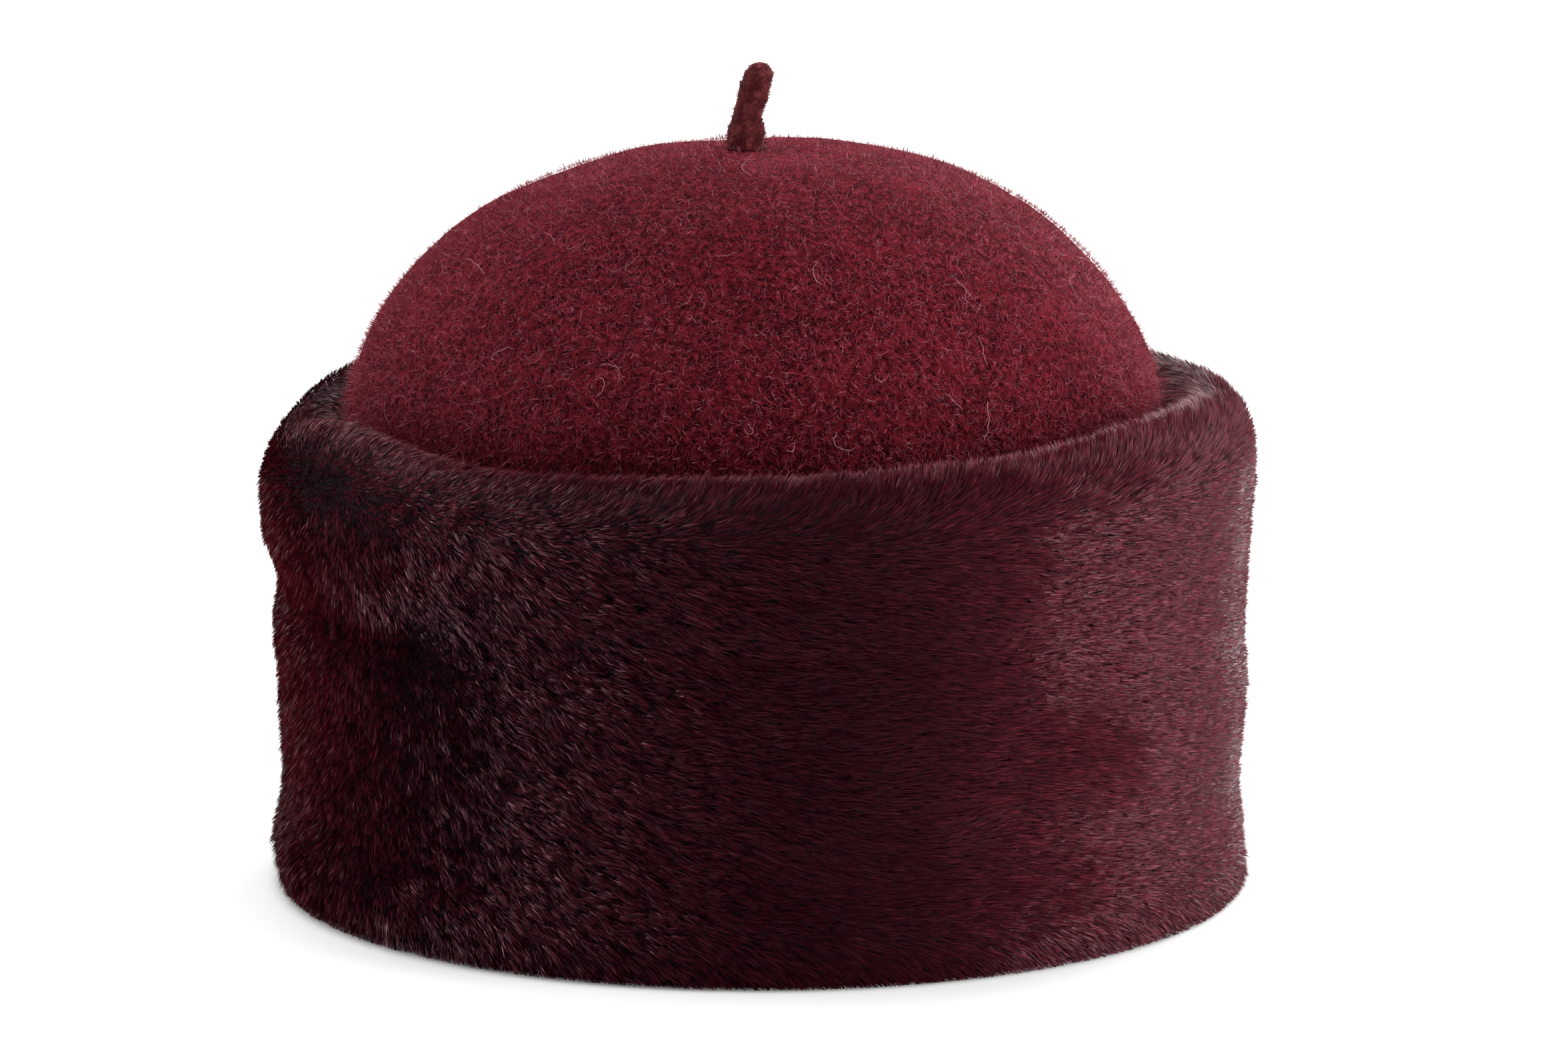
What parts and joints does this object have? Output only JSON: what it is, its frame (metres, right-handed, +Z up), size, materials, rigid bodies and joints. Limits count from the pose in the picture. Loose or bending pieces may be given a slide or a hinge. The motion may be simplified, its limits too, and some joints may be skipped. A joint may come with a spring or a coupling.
{
  "type": "fur-cuffed wool hat",
  "caption": "Round hat with a domed felted-wool crown, a small stalk on top and a deep fur cuff with a rolled rim.",
  "frame": {"origin": "middle of the head opening at the level of the hem", "axes": "+Z up through the crown, -Y out of the front, +X to the right as the front is looked at"},
  "size_m": [0.2445, 0.2439, 0.2009],
  "materials": {
    "felted_wool": "knitted wool, boiled and brushed to a fuzzy felt, burgundy",
    "tight_felt": "tightly rolled wool felt, matt, darker burgundy",
    "pile_fur": "dense short pile with a soft gloss at the tips, dark burgundy"
  },
  "bodies": {
    "root": {"crown": "felted_wool", "stalk": "tight_felt", "fur_cuff": "pile_fur"}
  },
  "joints": []
}
